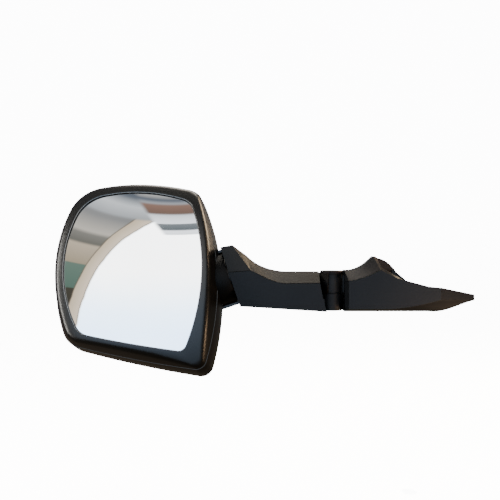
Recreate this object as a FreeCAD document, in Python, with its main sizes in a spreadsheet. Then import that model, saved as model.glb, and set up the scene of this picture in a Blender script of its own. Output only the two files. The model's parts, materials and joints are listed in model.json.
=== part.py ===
"""Folding front-view mirror of a lorry: a convex mirror head on a two-part arm.

The arm swings about a vertical hinge beside its base, and the head turns about the arm's slanted end.
+X runs along the arm towards the base, +Z is up and the glass faces -Y.
The origin is the middle of the bolt pair that holds the base to the cab.
"""
import FreeCAD, Part

import math
import os

from FreeCAD import Placement, Rotation, Vector

os.makedirs("parts", exist_ok=True)
doc = FreeCAD.newDocument("mirror")

# ---------------------------------------------------------------- driving dimensions, mm and degrees
DIMENSIONS = {
    # where the three working frames stand, measured from the fold hinge's axis at the arm's mid height
    "pad_along": 104.0,
    "pad_height": 13.0,
    "pad_slope": 15.0,
    "swivel_along": -134.0,
    "swivel_height": 19.7,
    "swivel_slope": 18.5,
    "head_along": -256.0,
    "head_forward": 47.0,
    "head_height": 34.8,
    "head_pitch": 16.0,
    # mirror glass and its backing
    "dome_radius": 400.0,
    "dome_rise": 7.0,
    "glass_thick": 3.0,
    "adhesive_thick": 1.2,
    "carrier_thick": 3.0,
    "glass_overlap": 3.4,
    "lip_thick": 3.0,
    # front bezel and rear housing, as depths behind the glass's highest point
    "seam_depth": 24.0,
    "belly_depth": 45.0,
    "back_depth": 94.0,
    "shell_thick": 2.8,
    # swivel between the head and the arm
    "collar_radius": 30.0,
    "collar_thick": 11.0,
    "neck_radius": 33.0,
    "swivel_bolt_radius": 6.0,
    "swivel_spring_radius": 8.6,
    "swivel_wire": 2.6,
    # arm
    "arm_end_depth": 28.0,
    "arm_hinge_depth": 22.0,
    "arm_ridge_share": 0.36,
    "cover_thick": 3.0,
    "joint_line": 0.5,
    # fold hinge
    "hub_radius": 14.3,
    "hub_low": -25.0,
    "hub_split": -2.0,
    "hub_top": 17.3,
    "hinge_neck": 22.5,
    "cap_top": 27.7,
    "pin_radius": 5.0,
    "running_gap": 0.05,
    "free_gap": 0.3,
    "washer_thick": 1.5,
    "spring_radius": 7.3,
    "spring_wire": 2.4,
    # base
    "base_depth": 22.0,
    "pad_half_length": 44.0,
    "pad_half_width": 14.0,
    "pad_thick": 12.0,
    "bolt_circle": 56.0,
    "bolt_hole_radius": 4.25,
    # screws
    "screw_radius": 2.4,
    "screw_head_radius": 4.4,
    "screw_head_thick": 3.0,
}

sheet = doc.addObject("Spreadsheet::Sheet", "dims")
for row, (alias, value) in enumerate(DIMENSIONS.items(), start=1):
    sheet.set(f"A{row}", alias)
    sheet.set(f"B{row}", str(value))
    sheet.setAlias(f"B{row}", alias)
doc.recompute()


def size(alias):
    """A cell of the sheet as a number, for the shapes that Part's own functions make."""
    return float(sheet.get(alias))


# clearance where one part holds another fast
SLIP = 0.02

# ---------------------------------------------------------------- the three working frames
FOLD = Placement(Vector(-size("pad_along"), 0, -size("pad_height")), Rotation())
SWIVEL = FOLD * Placement(
    Vector(size("swivel_along"), 0, size("swivel_height")),
    Rotation(Vector(0, 1, 0), -size("swivel_slope")),
)
HEAD = FOLD * Placement(
    Vector(size("head_along"), -size("head_forward"), size("head_height")),
    Rotation(Vector(1, 0, 0), -size("head_pitch")),
)
PAD = Placement(
    Vector(size("pad_along"), 0, size("pad_height")),
    Rotation(Vector(0, 1, 0), size("pad_slope")),
)
SWIVEL_IN_HEAD = HEAD.inverse() * SWIVEL
SWIVEL_IN_FOLD = FOLD.inverse() * SWIVEL

ALONG = {
    "X": Rotation(Vector(0, 1, 0), 90),
    "-X": Rotation(Vector(0, 1, 0), -90),
    "Y": Rotation(Vector(1, 0, 0), -90),
    "-Y": Rotation(Vector(1, 0, 0), 90),
    "Z": Rotation(),
}
nodes = []


# ---------------------------------------------------------------- helpers
def bind(target, prop, formula):
    """Ties a property to a formula on the sheet."""
    target.setExpression(prop, str(formula))


def place(target, at, axis="Z"):
    target.Placement = Placement(Vector(), ALONG[axis])
    for letter, formula in zip("xyz", at):
        bind(target, f"Placement.Base.{letter}", formula)
    return target


def cylinder(name, radius, length, at=(0, 0, 0), axis="Z"):
    """A cylinder whose radius, length and foot are formulas."""
    rod = doc.addObject("Part::Cylinder", name)
    bind(rod, "Radius", radius)
    bind(rod, "Height", length)
    return place(rod, at, axis)


def hexagon(name, radius, length, at=(0, 0, 0), axis="Z"):
    prism = doc.addObject("Part::Prism", name)
    prism.Polygon = 6
    bind(prism, "Circumradius", radius)
    bind(prism, "Height", length)
    return place(prism, at, axis)


def joined(name, *parts):
    fusion = doc.addObject("Part::MultiFuse", name)
    fusion.Shapes = list(parts)
    return fusion


def without(name, base, *tools):
    cut = doc.addObject("Part::Cut", name)
    cut.Base = base
    cut.Tool = tools[0] if len(tools) == 1 else joined(name + "_tools", *tools)
    return cut


def node(target, label, frame):
    """Gives a finished sub-part its name and its place."""
    target.Label = label
    target.Placement = frame
    nodes.append(target)
    return target


def fixed_node(shape, label, frame):
    """A sub-part whose shape is made by Part's own functions."""
    feature = doc.addObject("Part::Feature", label)
    feature.Shape = shape
    return node(feature, label, frame)


def moved(shape, placement):
    """A copy of a shape carried from one working frame to another."""
    carried = shape.copy()
    carried.Placement = placement * carried.Placement
    return carried


def ring_solid(outer, inner, low, high):
    """A plain ring about Z, used as a cutting or trimming shape."""
    tube = Part.makeCylinder(outer, high - low, Vector(0, 0, low))
    return tube.cut(Part.makeCylinder(inner, high - low, Vector(0, 0, low)))


def coil(mean_radius, wire, low, high, turns):
    """A helical spring about Z whose wire stays between two heights."""
    rise = high - low - wire
    helix = Part.makeHelix(rise / turns, rise, mean_radius)
    helix.translate(Vector(0, 0, low + wire / 2))
    foot = Vector(mean_radius, 0, low + wire / 2)
    section = Part.Wire(Part.makeCircle(wire / 2, foot, Vector(0, 1, 0)))
    return Part.Wire(helix).makePipeShell([section], True, True)


def extruded(points, y, depth):
    """A flat plate: a polygon of (x, z) points at a depth y, pushed back by a depth."""
    corners = [Vector(x, y, z) for x, z in points]
    face = Part.Face(Part.makePolygon(corners + corners[:1]))
    return face.extrude(Vector(0, depth, 0))


# ---------------------------------------------------------------- the head's outlines
# Each is eight arcs, every one tangent to the next: top, top inner corner, inner side, bottom inner
# corner, bottom, bottom outer corner, outer side, top outer corner. The radii of the bottom and of the
# outer side follow from the loop closing.
BOTTOM, OUTER_SIDE = 4, 6
OPENING = {
    "start": (-49.0, 105.5),
    "heading": 10.5,
    "turns": (26.0, 56.5, 39.0, 76.0, 5.0, 51.0, 46.5, 60.0),
    "radii": (240.0, 19.0, 280.0, 8.0, None, 20.0, None, 45.0),
}
RIM = {
    "start": (-51.1, 111.0),
    "heading": 9.5,
    "turns": (19.6, 58.6, 37.0, 82.1, 5.7, 54.8, 41.7, 60.5),
    "radii": (352.0, 17.7, 341.0, 13.0, None, 28.8, None, 50.1),
}


def closed_radii(shape):
    """The eight radii, with the two open ones worked out so that the loop closes."""
    steps, heading = [], math.radians(shape["heading"])
    for turn in shape["turns"]:
        after = heading - math.radians(turn)
        steps.append((math.sin(heading) - math.sin(after), math.cos(after) - math.cos(heading)))
        heading = after
    radii = list(shape["radii"])
    gap_u = -sum(r * s[0] for r, s in zip(radii, steps) if r is not None)
    gap_v = -sum(r * s[1] for r, s in zip(radii, steps) if r is not None)
    (au, av), (bu, bv) = steps[BOTTOM], steps[OUTER_SIDE]
    det = au * bv - av * bu
    radii[BOTTOM] = (gap_u * bv - gap_v * bu) / det
    radii[OUTER_SIDE] = (au * gap_v - av * gap_u) / det
    return radii


def outline(shape, depth, grow=0.0, shift=(0.0, 0.0), scale=1.0, pull=0.0):
    """A closed outline at a depth, grown outward, scaled, skewed by a pull, then shifted."""
    heading = math.radians(shape["heading"])
    u = shape["start"][0] - grow * math.sin(heading)
    v = shape["start"][1] + grow * math.cos(heading)
    edges = []
    for turn, radius in zip(shape["turns"], closed_radii(shape)):
        radius += grow
        centre_u = u + radius * math.sin(heading)
        centre_v = v - radius * math.cos(heading)
        points = []
        for share in (0.0, 0.5, 1.0):
            now = heading - math.radians(turn) * share
            across = scale * (centre_u - radius * math.sin(now))
            up = scale * (centre_v + radius * math.cos(now))
            points.append(Vector(across - pull * up + shift[0], depth, up - pull * across + shift[1]))
        edges.append(Part.Arc(*points).toShape())
        heading -= math.radians(turn)
        u = centre_u - radius * math.sin(heading)
        v = centre_v + radius * math.cos(heading)
    return Part.Wire(edges)


def prism(shape, low, high, **changes):
    """A straight-sided solid of an outline between two depths."""
    face = Part.Face(outline(shape, low, **changes))
    return face.extrude(Vector(0, high - low, 0))


def stack(sections):
    """A ruled solid through outlines, each given as its shape, its depth and its changes."""
    wires = [outline(shape, depth, **changes) for shape, depth, changes in sections]
    return Part.makeLoft(wires, True, True)


def dome(behind):
    """The ball whose front is the glass's front, moved back by a distance."""
    radius = size("dome_radius")
    return Part.makeSphere(radius - behind, Vector(0, radius - size("dome_rise"), 0))


# how the glass and the lip's edge differ from the opening's outline: both lie low and inward in it
PLATE = dict(scale=0.985, shift=(1.6, -1.6))
LIP = dict(scale=0.972, shift=(2.7, -2.7))
FRONT = -12.0
DOME_END = 60.0


def domed_plate(front, back, grow):
    """A plate of the head's outline between two domes."""
    blank = prism(OPENING, FRONT, DOME_END, grow=grow, **PLATE)
    return blank.common(dome(front)).cut(dome(back))


# ---------------------------------------------------------------- mirror glass, pad and carrier
glass_back = size("glass_thick")
pad_back = glass_back + size("adhesive_thick")
carrier_back = pad_back + size("carrier_thick")
fixed_node(domed_plate(0.0, glass_back, size("glass_overlap")), "mirror_glass", HEAD)
PAD_INSET = 5.0
fixed_node(domed_plate(glass_back, pad_back, -PAD_INSET), "adhesive_pad", HEAD)

CARRIER_FIXINGS = ((-48.0, 62.0), (42.0, 62.0), (-48.0, -48.0), (42.0, -58.0))


def sag(u, v):
    """The depth of the glass's front at a point of the head."""
    radius = size("dome_radius")
    return radius - math.sqrt(radius**2 - u**2 - v**2) - size("dome_rise")


def post(radius, at, low, high):
    """A round post along the head's depth."""
    return Part.makeCylinder(radius, high - low, Vector(at[0], low, at[1]), Vector(0, 1, 0))


CARRIER_BOSS = 9.0
CARRIER_BOSS_RADIUS = 4.6
BOSS_ROOT = 1.5
carrier = domed_plate(pad_back, carrier_back, size("glass_overlap"))
for spot in CARRIER_FIXINGS:
    start = sag(*spot) + carrier_back - BOSS_ROOT
    carrier = carrier.fuse(post(CARRIER_BOSS_RADIUS, spot, start, start + CARRIER_BOSS))
for spot in CARRIER_FIXINGS:
    start = sag(*spot) + carrier_back + 1.0
    carrier = carrier.cut(post(size("screw_radius"), spot, start, start + 2 * CARRIER_BOSS))
fixed_node(carrier, "glass_carrier", HEAD)

# ---------------------------------------------------------------- front bezel
# Its lip follows the glass's dome; its outer band slopes back from the lip's ridge to the seam.
seam, wall = size("seam_depth"), size("shell_thick")
SEAM_GAP = 0.4
BAND_GROW = 4.0
BAND_SHIFT = (1.0, -1.0)
LIP_FLARE = (3.6, 1.6)
bezel_wall = wall - 0.6
bezel = stack([(OPENING, FRONT, dict(grow=BAND_GROW, shift=BAND_SHIFT)), (RIM, seam - SEAM_GAP, dict())])
bezel = bezel.common(dome(-size("lip_thick")))
behind_lip = stack(
    [
        (OPENING, FRONT, dict(grow=BAND_GROW - bezel_wall, shift=BAND_SHIFT)),
        (RIM, seam + 0.6, dict(grow=-bezel_wall)),
    ]
)
bezel = bezel.cut(behind_lip.common(dome(-size("free_gap"))))
front_flare, back_flare = LIP_FLARE
bezel = bezel.cut(
    stack(
        [
            (OPENING, FRONT - 1.0, dict(grow=front_flare, **LIP)),
            (OPENING, seam + 1.0, dict(grow=back_flare, **LIP)),
        ]
    )
)
fixed_node(bezel, "front_bezel", HEAD)

# ---------------------------------------------------------------- rear housing
belly, back = size("belly_depth"), size("back_depth")
BELLY_GROW = 4.0
BELLY_SHIFT = (2.0, -1.5)
BELLY_PULL = 0.02
BACK_SHIFT = (11.0, -5.0)
BACK_SHRINK = 0.36
BACK_STEPS = 7
housing_sections = [
    (seam, dict(grow=0.4)),
    (seam + 7.0, dict(grow=BELLY_GROW / 2, shift=(0.8, -0.7), pull=BELLY_PULL / 2)),
    (belly, dict(grow=BELLY_GROW, shift=BELLY_SHIFT, pull=BELLY_PULL)),
]
# behind the belly the sections shrink along a quarter circle, and drift outward and down
for step in range(1, BACK_STEPS + 1):
    angle = math.radians(90) * step / (BACK_STEPS + 1)
    round_off = 1.0 - math.cos(angle)
    drift = tuple(one + more * round_off for one, more in zip(BELLY_SHIFT, BACK_SHIFT))
    changes = dict(grow=BELLY_GROW, shift=drift, scale=1.0 - BACK_SHRINK * round_off, pull=BELLY_PULL)
    housing_sections.append((belly + (back - belly) * math.sin(angle), changes))
housing_outer = stack([(RIM, depth, changes) for depth, changes in housing_sections])
inner_sections = [
    (RIM, depth, {**changes, "grow": changes["grow"] - wall}) for depth, changes in housing_sections
]
inner_sections[0] = (RIM, seam - 0.5, inner_sections[0][2])
inner_sections[-1] = (RIM, back - wall, inner_sections[-1][2])
inside = stack(inner_sections)

# the neck reaches from the housing's inner side to the arm's collar, about the swivel axis
OUTWARD = Vector(-1, 0, 0)
neck_face = -size("collar_thick") - size("free_gap")
neck_length = 46.0
NECK_WALL = 4.0
FRICTION_RADIUS = 20.0
ARM_SWEEP = 64.0
ARM_GAP = 0.9
SHROUD_OUTER, SHROUD_INNER = 38.5, 34.9
FAR = 90.0


def about_swivel(radius, start, length):
    """A cylinder about the swivel axis, from a station on it towards the head."""
    return Part.makeCylinder(radius, length, Vector(start, 0, 0), OUTWARD)


neck_solid = Part.makeCone(
    size("neck_radius") - 1.0, size("neck_radius") + 2.0, neck_length, Vector(neck_face, 0, 0), OUTWARD
)
shroud = about_swivel(SHROUD_OUTER, -ARM_GAP, neck_length)
shroud = shroud.cut(about_swivel(SHROUD_INNER, 1.0, neck_length + 10.0))
shroud = shroud.cut(Part.makeBox(FAR, FAR, 2 * FAR, Vector(-FAR, -FAR, -FAR)))
neck_hollow = about_swivel(size("neck_radius") - 6.0, neck_face - NECK_WALL, neck_length - 7.0)
neck_bore = about_swivel(FRICTION_RADIUS + size("free_gap"), neck_face + 5.0, 20.0)
collar_room = about_swivel(size("collar_radius") + 1.2, 40.0, 40.0 - neck_face)
arm_room = about_swivel(ARM_SWEEP, 40.0 - ARM_GAP, 40.0)
neck_solid, shroud, neck_hollow, neck_bore, collar_room, arm_room = (
    moved(part, SWIVEL_IN_HEAD)
    for part in (neck_solid, shroud, neck_hollow, neck_bore, collar_room, arm_room)
)
housing = housing_outer.fuse(neck_solid).fuse(shroud)
in_front = Part.makeBox(4 * FAR, 2 * FAR, 4 * FAR, Vector(-2 * FAR, seam - 2 * FAR, -2 * FAR))
for room in (inside, neck_hollow, neck_bore, collar_room, arm_room, in_front):
    housing = housing.cut(room)

# bosses that carry the glass carrier's screws, open at the back
SCREW_SEAT = 62.0
SEAT_FLOOR = 3.0
clearance_hole = size("screw_radius") + size("free_gap")
for spot in CARRIER_FIXINGS:
    start = sag(*spot) + carrier_back + CARRIER_BOSS - BOSS_ROOT + size("free_gap")
    boss = post(5.0, spot, start, SCREW_SEAT + 1.0).fuse(post(8.0, spot, SCREW_SEAT - SEAT_FLOOR, back))
    boss = boss.common(housing_outer)
    hole = post(clearance_hole, spot, 0.0, back + 1.0)
    seat = post(size("screw_head_radius") + 1.0, spot, SCREW_SEAT, back + 1.0)
    housing = housing.fuse(boss).cut(hole).cut(seat)

# bosses that the head bracket's screws bite into
BRACKET_FIXINGS = ((-45.0, -12.0), (-45.0, 12.0), (-85.0, -12.0), (-85.0, 12.0))
BRACKET_FRONT, BRACKET_BACK = 13.0, 17.0
PILOT_DEPTH = 12.0
for along, up in BRACKET_FIXINGS:
    boss = Part.makeCylinder(5.5, 60.0, Vector(along, BRACKET_BACK, up), Vector(0, 1, 0))
    pilot = Part.makeCylinder(
        size("screw_radius"), PILOT_DEPTH, Vector(along, BRACKET_BACK - 0.5, up), Vector(0, 1, 0)
    )
    boss = moved(boss, SWIVEL_IN_HEAD).common(housing_outer)
    housing = housing.fuse(boss).cut(moved(pilot, SWIVEL_IN_HEAD))
fixed_node(housing, "rear_housing", HEAD)

# ---------------------------------------------------------------- screws of the head
DRIVE_RADIUS, DRIVE_DEPTH = 2.0, 1.6


def screw(length, at, axis):
    """A cheese-head screw whose head's underside is at a point and whose shank runs along an axis."""
    body = Part.makeCylinder(size("screw_radius"), length, at, axis)
    cap = Part.makeCylinder(size("screw_head_radius"), size("screw_head_thick"), at, -axis)
    drive = Part.makeCylinder(DRIVE_RADIUS, DRIVE_DEPTH, at - axis * size("screw_head_thick"), axis)
    return body.fuse(cap).cut(drive)


def group(shapes):
    return Part.makeCompound(shapes)


carrier_screws = []
for spot in CARRIER_FIXINGS:
    tip = sag(*spot) + carrier_back + 2.0
    carrier_screws.append(
        screw(SCREW_SEAT - tip, Vector(spot[0], SCREW_SEAT, spot[1]), Vector(0, -1, 0))
    )
fixed_node(group(carrier_screws), "carrier_screws", HEAD)

bracket_screws = [
    screw(14.5, Vector(along, BRACKET_FRONT, up), Vector(0, 1, 0))
    for along, up in BRACKET_FIXINGS
]
fixed_node(group(bracket_screws), "bracket_screws", SWIVEL)

# ---------------------------------------------------------------- head bracket and swivel
FLANGE_THICK, FLANGE_RADIUS = 5.0, 24.0
LEAF_LONG, LEAF_HIGH = 80.0, 40.0
flange_face = neck_face - NECK_WALL - size("free_gap")
bracket = about_swivel(FLANGE_RADIUS, flange_face, FLANGE_THICK)
leaf_corner = Vector(flange_face - LEAF_LONG, BRACKET_FRONT, -LEAF_HIGH / 2)
leaf = Part.makeBox(LEAF_LONG, BRACKET_BACK - BRACKET_FRONT, LEAF_HIGH, leaf_corner)
bracket = bracket.fuse(leaf)
bolt_run = size("swivel_bolt_radius") + size("running_gap")
bracket = bracket.cut(about_swivel(bolt_run, flange_face + 10, 30.0))
for along, up in BRACKET_FIXINGS:
    bracket = bracket.cut(
        Part.makeCylinder(clearance_hole, 20.0, Vector(along, 5.0, up), Vector(0, 1, 0))
    )
fixed_node(bracket, "head_bracket", SWIVEL)

BOLT_RUN = "dims.swivel_bolt_radius + dims.running_gap"
collar_rim = cylinder(
    "collar_rim",
    "dims.collar_radius",
    "dims.collar_thick / 2",
    ("-dims.collar_thick / 2", 0, 0),
    "-X",
)
collar_spigot = cylinder("collar_spigot", "dims.collar_radius - 5", "dims.collar_thick", axis="-X")
collar_hole = cylinder("collar_hole", BOLT_RUN, "dims.collar_thick + 2", (1, 0, 0), "-X")
collar = without("collar", joined("collar_blank", collar_rim, collar_spigot), collar_hole)
node(collar, "swivel_collar", SWIVEL)

FRICTION_THICK = 3.4
friction_at = neck_face - size("free_gap")
friction_disc = cylinder("friction_disc", FRICTION_RADIUS, FRICTION_THICK, (friction_at, 0, 0), "-X")
friction_hole = cylinder("friction_hole", BOLT_RUN, 8, (neck_face + 2, 0, 0), "-X")
node(without("friction", friction_disc, friction_hole), "swivel_friction_washer", SWIVEL)

SPRING_ROOM = 14.0
spring_start = -(flange_face - FLANGE_THICK) + size("free_gap")
spring_end = spring_start + SPRING_ROOM
swivel_coil = coil(size("swivel_spring_radius"), size("swivel_wire"), spring_start, spring_end, 3.5)
fixed_node(swivel_coil, "swivel_spring", SWIVEL * Placement(Vector(), ALONG["-X"]))

PLATE_THICK, PLATE_RADIUS = 1.6, 11.5
plate_at = -(spring_end + 0.1)
plate_disc = cylinder("plate_disc", PLATE_RADIUS, PLATE_THICK, (plate_at, 0, 0), "-X")
plate_hole = cylinder("plate_hole", BOLT_RUN, PLATE_THICK + 2, (plate_at + 1, 0, 0), "-X")
node(without("plate", plate_disc, plate_hole), "swivel_spring_plate", SWIVEL)

NUT_THICK = 8.0
nut_at = plate_at - PLATE_THICK - 0.05
nut_blank = hexagon("nut_blank", 11, NUT_THICK, (nut_at, 0, 0), "-X")
nut_hole = cylinder("nut_hole", "dims.swivel_bolt_radius + 0.02", NUT_THICK + 2, (nut_at + 1, 0, 0), "-X")
node(without("nut", nut_blank, nut_hole), "swivel_nut", SWIVEL)

BOLT_ANCHOR = 24.0
bolt_length = BOLT_ANCHOR - nut_at + NUT_THICK + 2
bolt_shank = cylinder("bolt_shank", "dims.swivel_bolt_radius", bolt_length, (BOLT_ANCHOR, 0, 0), "-X")
bolt_head = hexagon("bolt_head", 10, 6, (BOLT_ANCHOR + 6, 0, 0), "-X")
node(joined("swivel_bolt_body", bolt_shank, bolt_head), "swivel_bolt", SWIVEL)


# ---------------------------------------------------------------- arm covers
def curve(points):
    """A smooth edge through points."""
    spline = Part.BSplineCurve()
    spline.interpolate([Vector(*point) for point in points])
    return spline.toShape()


def line(one, two):
    return Part.LineSegment(Vector(*one), Vector(*two)).toShape()


def arm_side(x):
    """Half of the arm's depth, which grows from the hinge to the elbow."""
    hinge, end = size("arm_hinge_depth"), size("arm_end_depth")
    return hinge + (end - hinge) * (ARM_RIGHT - x) / (ARM_RIGHT - ELBOW_LOW[0])


ARM_RIGHT = -17.4
ELBOW_TOP = (-147.0, 58.6)
ELBOW_PEAK = (-132.0, 61.5)
ELBOW_LOW = (-121.4, -18.0)
RIDGE = ((-113.0, 47.4), (-97.0, 35.4), (-80.0, 29.0), (-62.0, 26.4))
RIDGE_END = (ARM_RIGHT, 26.4)
BELLY_END = (-8.5, -25.6)
END_BOW = (-14.5, -3.0)
FACET = ((-107.3, 28.3), (-93.0, 21.2), (-75.0, 13.8), (-56.6, 11.7))
FACET_END = (ARM_RIGHT, 12.0)


def arm_section(share, edge, end, inset=0.0):
    """A closed outline of the arm in a plane at a share of its half depth."""

    def at(point):
        return (point[0], share * arm_side(point[0]), point[1])

    def drawn(points):
        return [at(point) for point in points]

    low = (ELBOW_LOW[0] + inset, ELBOW_LOW[1] + inset)
    top = (ELBOW_TOP[0] + 1.2 * inset, ELBOW_TOP[1] - inset)
    peak = (ELBOW_PEAK[0] - 0.2 * inset, ELBOW_PEAK[1] - 1.4 * inset)
    edge = [(x - 0.6 * inset, z - inset) for x, z in edge]
    end = (end[0] - inset, end[1] - inset)
    heel = (BELLY_END[0] - inset, BELLY_END[1] + inset)
    return Part.Wire(
        [
            line(at(top), at(peak)),
            line(at(peak), at(edge[0])),
            curve(drawn(edge)),
            line(at(edge[-1]), at(end)),
            curve(drawn([end, (END_BOW[0] - inset, END_BOW[1]), heel])),
            line(at(heel), at(low)),
            line(at(low), at(top)),
        ]
    )


def arm_solid(inset=0.0):
    share = size("arm_ridge_share")
    full = 1.0 - inset / size("arm_hinge_depth")
    facet, ridge = list(FACET), list(RIDGE)
    wires = [
        arm_section(-full, facet, FACET_END, inset),
        arm_section(-share, ridge, RIDGE_END, inset),
        arm_section(share, ridge, RIDGE_END, inset),
        arm_section(full, facet, FACET_END, inset),
    ]
    return Part.makeLoft(wires, True, True)


def above(points, gap, reach=90.0, top=140.0):
    """Everything above a seam in the XZ plane: straight to its second point, curved to its last but
    one, then straight again. It parts two covers."""
    lifted = [Vector(x, -reach, z + gap) for x, z in points]
    left, right = lifted[0], lifted[-1]
    high_left, high_right = Vector(left.x, -reach, top), Vector(right.x, -reach, top)
    spline = Part.BSplineCurve()
    spline.interpolate(lifted[1:-1])
    edges = [Part.LineSegment(left, lifted[1]).toShape(), spline.toShape()]
    corners = (lifted[-2], right, high_right, high_left, left)
    for one, two in zip(corners, corners[1:]):
        edges.append(Part.LineSegment(one, two).toShape())
    return Part.Face(Part.Wire(edges)).extrude(Vector(0, 2 * reach, 0))


CORE_HALF = 11.0
CORE_GAP = 2.5
CORE_END_RADIUS = 26.0
KNUCKLE_GAP = 1.8
ARM_SEAM = ((-170.0, 23.9),) + FACET + ((0.0, 12.0),)
half_gap = size("joint_line") / 2
arm_shell = arm_solid().cut(arm_solid(size("cover_thick")))
window_half = CORE_HALF + CORE_GAP
core_window = Part.makeBox(34.0, 2 * window_half, 18.0, Vector(-32.0, -window_half, -26.5))
end_window = about_swivel(CORE_END_RADIUS + size("free_gap"), 8.0, 20.0)
end_window = moved(end_window, SWIVEL_IN_FOLD)
knuckle_room = Part.makeCylinder(size("hub_radius") + KNUCKLE_GAP, 90.0, Vector(0, 0, -40.0))
arm_shell = arm_shell.cut(core_window).cut(end_window).cut(knuckle_room)
upper_arm = arm_shell.common(above(ARM_SEAM, half_gap))
lower_arm = arm_shell.cut(above(ARM_SEAM, -half_gap))

# screws from behind hold each lower cover to the casting inside it
ARM_FIXINGS = ((-62.0, -3.0), (-95.0, 2.0))
HEAD_ROOM = 3.4
FIXING_BOSS_RADIUS, FIXING_SEAT_RADIUS = 5.2, 4.8
SCREW_LENGTH = 20.0


def back_fixing(shell, x, z, inner, outer):
    """A cover with one screw boss added between the casting and the cover's back wall."""
    back = Vector(0, 1, 0)
    boss = Part.makeCylinder(FIXING_BOSS_RADIUS, outer - inner - 1.0, Vector(x, inner, z), back)
    hole = Part.makeCylinder(clearance_hole, outer, Vector(x, 0, z), back)
    seat = Part.makeCylinder(FIXING_SEAT_RADIUS, 20.0, Vector(x, outer - HEAD_ROOM, z), back)
    return shell.fuse(boss).cut(hole).cut(seat)


def back_screw(x, z, outer):
    """The screw that goes with a back fixing."""
    return screw(SCREW_LENGTH, Vector(x, outer - HEAD_ROOM, z), Vector(0, -1, 0))


def screw_holes(casting, fixings):
    """A casting with its threaded holes opened from behind."""
    for x, z in fixings:
        hole = Part.makeCylinder(
            size("screw_radius") + SLIP, 60.0, Vector(x, -3.0, z), Vector(0, 1, 0)
        )
        casting = casting.cut(hole)
    return casting


for x, z in ARM_FIXINGS:
    lower_arm = back_fixing(lower_arm, x, z, CORE_HALF + 0.1, arm_side(x))
fixed_node(upper_arm, "arm_upper_cover", FOLD)
fixed_node(lower_arm, "arm_lower_cover", FOLD)
fixed_node(group([back_screw(x, z, arm_side(x)) for x, z in ARM_FIXINGS]), "arm_cover_screws", FOLD)

# ---------------------------------------------------------------- arm core, one casting
core_points = [
    (-10.0, -20.5),
    (-10.0, -10.0),
    (-24.0, -10.0),
    (-46.0, 5.0),
    (-96.0, 14.0),
    (-110.0, 34.0),
    (-121.0, 28.0),
    (-116.0, 2.0),
    (-104.0, -8.0),
    (-36.0, -17.5),
    (-30.0, -20.5),
]
core = extruded(core_points, -CORE_HALF, 2 * CORE_HALF)
END_THICK, END_HUB_RADIUS, END_HUB_LONG = 7.8, 19.0, 18.0
end_face = Vector(size("running_gap"), 0, 0)
core_end = Part.makeCylinder(CORE_END_RADIUS, END_THICK, end_face, Vector(1, 0, 0))
core_end = core_end.fuse(Part.makeCylinder(END_HUB_RADIUS, END_HUB_LONG, end_face, Vector(1, 0, 0)))
core = core.fuse(moved(core_end, SWIVEL_IN_FOLD))
washer, free = size("washer_thick"), size("free_gap")
lower_top = size("hub_split") - washer / 2 - free / 2
upper_low = size("hub_split") + washer / 2 + free / 2
hub = Part.makeCylinder(size("hub_radius"), lower_top - size("hub_low"), Vector(0, 0, size("hub_low")))
core = core.fuse(hub)
PIN_HEAD_RADIUS, PIN_HEAD_THICK = 9.0, 4.4
core = core.cut(Part.makeCylinder(size("pin_radius") + SLIP, 80.0, Vector(0, 0, -60.0)))
core = core.cut(Part.makeCylinder(PIN_HEAD_RADIUS + 0.2, 6.0, Vector(0, 0, size("hub_low") - 0.5)))
core = core.cut(moved(about_swivel(size("swivel_bolt_radius") + SLIP, 70.0, 80.0), SWIVEL_IN_FOLD))
core = core.cut(moved(about_swivel(11.0, BOLT_ANCHOR + 60.0, 60.1), SWIVEL_IN_FOLD))
core = screw_holes(core, ARM_FIXINGS)
fixed_node(core, "arm_core", FOLD)

# ---------------------------------------------------------------- fold hinge
PIN_LENGTH = "dims.hinge_neck - dims.hub_low - 2.8"
HINGE_RUN = "dims.pin_radius + dims.running_gap"
pin_foot = size("hub_low") + 1.0
pin_shank = cylinder("pin_shank", "dims.pin_radius", PIN_LENGTH, (0, 0, pin_foot))
pin_head = cylinder("pin_head", PIN_HEAD_RADIUS, PIN_HEAD_THICK, (0, 0, pin_foot))
node(joined("pin_body", pin_shank, pin_head), "hinge_pin", FOLD)

thrust_at = (0, 0, lower_top)
thrust_ring = cylinder("thrust_ring", "dims.hub_radius - 0.4", "dims.washer_thick", thrust_at)
thrust_hole = cylinder("thrust_hole", HINGE_RUN, 4, (0, 0, lower_top - 1))
node(without("thrust", thrust_ring, thrust_hole), "hinge_thrust_washer", FOLD)

SPRING_SEAT, SPRING_TOP = 3.0, 13.6
SPRING_PLATE_THICK = 1.4
hinge_coil = coil(size("spring_radius"), size("spring_wire"), SPRING_SEAT + free, SPRING_TOP, 3.0)
fixed_node(hinge_coil, "hinge_spring", FOLD)
spring_disc = cylinder("spring_disc", 9.4, SPRING_PLATE_THICK, (0, 0, SPRING_TOP + 0.1))
spring_disc_hole = cylinder("spring_disc_hole", HINGE_RUN, 4, (0, 0, SPRING_TOP - 1))
node(without("spring_plate", spring_disc, spring_disc_hole), "hinge_spring_plate", FOLD)
hinge_nut_blank = hexagon("hinge_nut_blank", 9, 5, (0, 0, SPRING_TOP + SPRING_PLATE_THICK + 0.2))
hinge_nut_hole = cylinder("hinge_nut_hole", "dims.pin_radius + 0.02", 9, (0, 0, SPRING_TOP))
node(without("hinge_nut_body", hinge_nut_blank, hinge_nut_hole), "hinge_nut", FOLD)

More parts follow.
